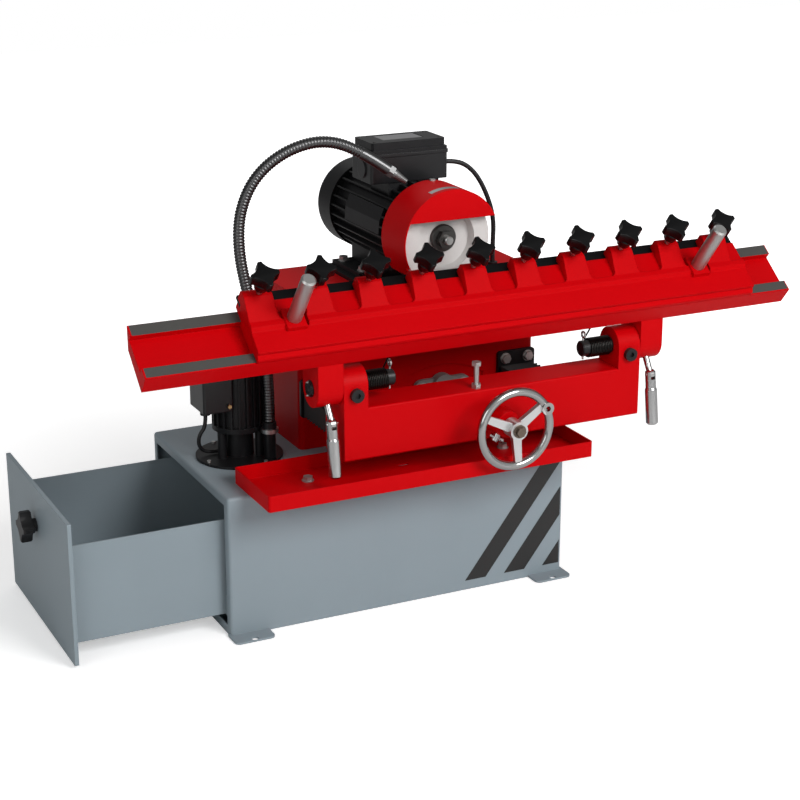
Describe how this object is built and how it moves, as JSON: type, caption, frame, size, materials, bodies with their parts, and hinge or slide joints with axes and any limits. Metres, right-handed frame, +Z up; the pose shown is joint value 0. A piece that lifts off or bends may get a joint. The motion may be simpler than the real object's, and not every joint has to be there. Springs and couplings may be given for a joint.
{
  "type": "planer knife grinder",
  "caption": "Bench machine with a motor-driven cup wheel that sharpens long planer knives clamped on a sliding carriage, with a crossfeed, tilting rail and coolant drawer.",
  "frame": {"origin": "on the floor, in the middle of the four foot holes", "axes": "+X along the machine towards the right as the operator sees it, +Y from the operator to the back, +Z up"},
  "size_m": [1.1813, 0.48, 0.6985],
  "materials": {
    "red_paint": "gloss",
    "grey_paint": "satin",
    "black_paint": "satin",
    "black_plastic": "matt",
    "ground_steel": "ground",
    "zinc": "satin",
    "chrome": "polished",
    "cast_aluminium": "satin",
    "abrasive": "matt",
    "rubber": "matt",
    "cable_rubber": "satin",
    "bright_steel": "turned"
  },
  "bodies": {
    "base": {"cabinet_shell": "grey_paint", "drip_tray": "red_paint", "column_body": "red_paint", "feed_nut": "bright_steel", "way_plates": "black_paint", "way_bellows": "rubber", "base_fasteners": "zinc", "motor_plate": "black_paint", "motor_housing": "black_paint", "front_end_shield": "black_paint", "fan_cover": "black_plastic", "terminal_box": "black_plastic", "terminal_lid": "black_plastic", "cable_glands": "black_plastic", "motor_cable": "cable_rubber", "wheel_guard": "red_paint", "spindle_bearings": "bright_steel", "pump_body": "black_paint", "pump_motor": "black_paint", "pump_terminal_box": "black_plastic", "pump_cable": "cable_rubber", "coolant_pipe": "zinc", "coolant_hose": "chrome", "hose_nozzle": "chrome"},
    "drawer": {"drawer_box": "grey_paint", "drawer_front": "grey_paint", "drawer_knob": "black_plastic"},
    "beam": {"crossbeam": "red_paint", "guide_bars": "bright_steel", "beam_fasteners": "black_paint", "feed_bearing": "red_paint"},
    "handwheel": {"handwheel": "cast_aluminium", "feed_screw": "bright_steel"},
    "lock_screw": {"lock_screw": "chrome"},
    "rail": {"knife_rail": "red_paint", "pivot_shafts": "bright_steel", "torsion_springs": "black_paint"},
    "carriage": {"carriage_base": "red_paint", "clamp_plate": "red_paint", "clamp_bar": "black_paint", "push_handles": "bright_steel"},
    "spindle": {"rotor_shaft": "bright_steel", "cooling_fan": "black_plastic", "cup_wheel": "abrasive", "wheel_flanges": "black_paint", "spindle_nut": "zinc"},
    "lever_screw_left": {"lever_screw_left": "chrome"},
    "lever_screw_right": {"lever_screw_right": "chrome"},
    "lever_handle_left": {"lever_handle_left": "chrome"},
    "lever_handle_right": {"lever_handle_right": "chrome"},
    "knob_01": {"clamp_knob_01": "black_plastic"},
    "knob_02": {"clamp_knob_02": "black_plastic"},
    "knob_03": {"clamp_knob_03": "black_plastic"},
    "knob_04": {"clamp_knob_04": "black_plastic"},
    "knob_05": {"clamp_knob_05": "black_plastic"},
    "knob_06": {"clamp_knob_06": "black_plastic"},
    "knob_07": {"clamp_knob_07": "black_plastic"},
    "knob_08": {"clamp_knob_08": "black_plastic"},
    "knob_09": {"clamp_knob_09": "black_plastic"},
    "knob_10": {"clamp_knob_10": "black_plastic"}
  },
  "joints": [
    {"name": "drawer_slide", "type": "slide", "parent": "base", "child": "drawer", "axis": [1, 0, 0], "range_m": [-0.09, 0.228]},
    {"name": "infeed", "type": "slide", "parent": "base", "child": "beam", "axis": [0, 1, 0], "range_m": [-0.0242, 0.0082], "deforming": ["way_bellows"]},
    {"name": "handwheel_spin", "type": "hinge", "parent": "beam", "child": "handwheel", "pos_m": [0.136, -0.2585, 0.289], "axis": [0, 1, 0], "range_deg": [-2160, 720]},
    {"name": "lock_turn", "type": "hinge", "parent": "beam", "child": "lock_screw", "pos_m": [0.136, -0.224, 0.289], "axis": [-0.5299, 0, -0.848], "range_deg": [-30, 180]},
    {"name": "rail_tilt", "type": "hinge", "parent": "beam", "child": "rail", "pos_m": [0, -0.174, 0.3675], "axis": [1, 0, 0], "range_deg": [-3, 30], "stiffness_Nm_per_rad": 5, "springref_deg": -34.38},
    {"name": "carriage_slide", "type": "slide", "parent": "rail", "child": "carriage", "axis": [1, 0, 0], "range_m": [-0.42, 0.34]},
    {"name": "spindle_spin", "type": "hinge", "parent": "base", "child": "spindle", "pos_m": [0.0925, 0, 0.5467], "axis": [0, 1, 0], "continuous": true},
    {"name": "lever_left_turn", "type": "hinge", "parent": "rail", "child": "lever_screw_left", "pos_m": [-0.1319, -0.174, 0.3675], "axis": [0, -0.5211, -0.8535], "range_deg": [-60, 10]},
    {"name": "lever_right_turn", "type": "hinge", "parent": "rail", "child": "lever_screw_right", "pos_m": [0.4039, -0.174, 0.3675], "axis": [0, -0.5211, -0.8535], "range_deg": [-10, 60]},
    {"name": "lever_left_fold", "type": "hinge", "parent": "lever_screw_left", "child": "lever_handle_left", "pos_m": [-0.1319, -0.203, 0.32], "axis": [1, 0, 0], "range_deg": [-110, 8]},
    {"name": "lever_right_fold", "type": "hinge", "parent": "lever_screw_right", "child": "lever_handle_right", "pos_m": [0.4039, -0.203, 0.32], "axis": [1, 0, 0], "range_deg": [-110, 8]},
    {"name": "knob_01_turn", "type": "hinge", "parent": "carriage", "child": "knob_01", "pos_m": [-0.226, -0.17612, 0.52086], "axis": [0, -0.6211, 0.7837], "range_deg": [-90, 720]},
    {"name": "knob_02_turn", "type": "hinge", "parent": "carriage", "child": "knob_02", "pos_m": [-0.1423, -0.17612, 0.52086], "axis": [0, -0.6211, 0.7837], "range_deg": [-90, 720]},
    {"name": "knob_03_turn", "type": "hinge", "parent": "carriage", "child": "knob_03", "pos_m": [-0.0586, -0.17612, 0.52086], "axis": [0, -0.6211, 0.7837], "range_deg": [-90, 720]},
    {"name": "knob_04_turn", "type": "hinge", "parent": "carriage", "child": "knob_04", "pos_m": [0.0251, -0.17612, 0.52086], "axis": [0, -0.6211, 0.7837], "range_deg": [-90, 720]},
    {"name": "knob_05_turn", "type": "hinge", "parent": "carriage", "child": "knob_05", "pos_m": [0.1088, -0.17612, 0.52086], "axis": [0, -0.6211, 0.7837], "range_deg": [-90, 720]},
    {"name": "knob_06_turn", "type": "hinge", "parent": "carriage", "child": "knob_06", "pos_m": [0.1925, -0.17612, 0.52086], "axis": [0, -0.6211, 0.7837], "range_deg": [-90, 720]},
    {"name": "knob_07_turn", "type": "hinge", "parent": "carriage", "child": "knob_07", "pos_m": [0.2762, -0.17612, 0.52086], "axis": [0, -0.6211, 0.7837], "range_deg": [-90, 720]},
    {"name": "knob_08_turn", "type": "hinge", "parent": "carriage", "child": "knob_08", "pos_m": [0.3599, -0.17612, 0.52086], "axis": [0, -0.6211, 0.7837], "range_deg": [-90, 720]},
    {"name": "knob_09_turn", "type": "hinge", "parent": "carriage", "child": "knob_09", "pos_m": [0.4436, -0.17612, 0.52086], "axis": [0, -0.6211, 0.7837], "range_deg": [-90, 720]},
    {"name": "knob_10_turn", "type": "hinge", "parent": "carriage", "child": "knob_10", "pos_m": [0.5273, -0.17612, 0.52086], "axis": [0, -0.6211, 0.7837], "range_deg": [-90, 720]}
  ],
  "couplings": [
    {"joint": "infeed", "follows": "handwheel_spin", "m_per_rad": 0.00063662}
  ]
}
